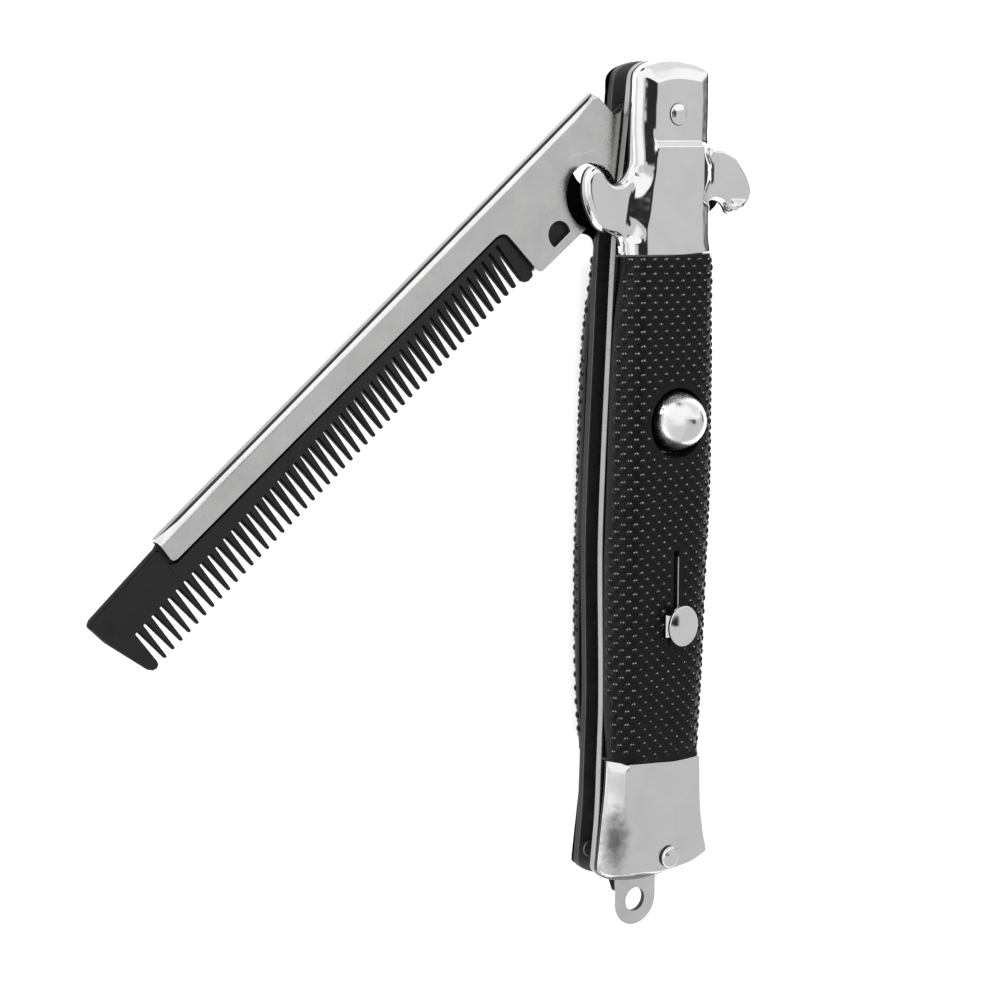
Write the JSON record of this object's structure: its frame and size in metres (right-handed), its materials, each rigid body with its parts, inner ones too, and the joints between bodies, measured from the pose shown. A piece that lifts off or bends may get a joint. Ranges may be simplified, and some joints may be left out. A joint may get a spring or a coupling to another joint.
{
  "type": "folding comb",
  "caption": "Folding pocket comb: a black comb in a steel channel swings out of a slim handle with bright bolsters, guard wings, dotted black grips and an eye at the butt.",
  "frame": {"origin": "on the flat back of the rear grip, where the object rests, under the line of the rivets and midway between them", "axes": "+Y along the handle toward the pivot, +Z out of the handle's front, +X to the right with the front up"},
  "size_m": [0.106, 0.1314, 0.0179],
  "materials": {
    "chrome": "polished",
    "brushed_steel": "satin",
    "dark_steel": "dull dark",
    "grip_plastic": "glossy, raised dots",
    "comb_plastic": "satin"
  },
  "bodies": {
    "handle": {"front_bolster": "chrome", "rear_bolster": "chrome", "front_grip": "grip_plastic", "rear_grip": "grip_plastic", "front_pommel": "chrome", "rear_pommel": "chrome", "front_liner": "brushed_steel", "rear_liner": "dark_steel", "back_spacer": "dark_steel", "pivot_rivet": "chrome", "butt_rivet": "chrome", "split_ring_eye": "brushed_steel"},
    "blade": {"spine_channel": "brushed_steel", "comb": "comb_plastic"},
    "button": {"release_button": "chrome"},
    "slide": {"lock_slide": "chrome"}
  },
  "joints": [
    {"name": "comb_hinge", "type": "hinge", "parent": "handle", "child": "blade", "pos_m": [0, 0.05565, 0.0068], "axis": [0, 0, 1], "range_deg": [-129.6, 50.4]},
    {"name": "button_press", "type": "slide", "parent": "handle", "child": "button", "axis": [0, 0, -1], "range_m": [0, 0.0011], "stiffness_N_per_m": 300, "springref_m": -0.0005},
    {"name": "lock_travel", "type": "slide", "parent": "handle", "child": "slide", "axis": [0, 1, 0], "range_m": [0, 0.007]}
  ]
}
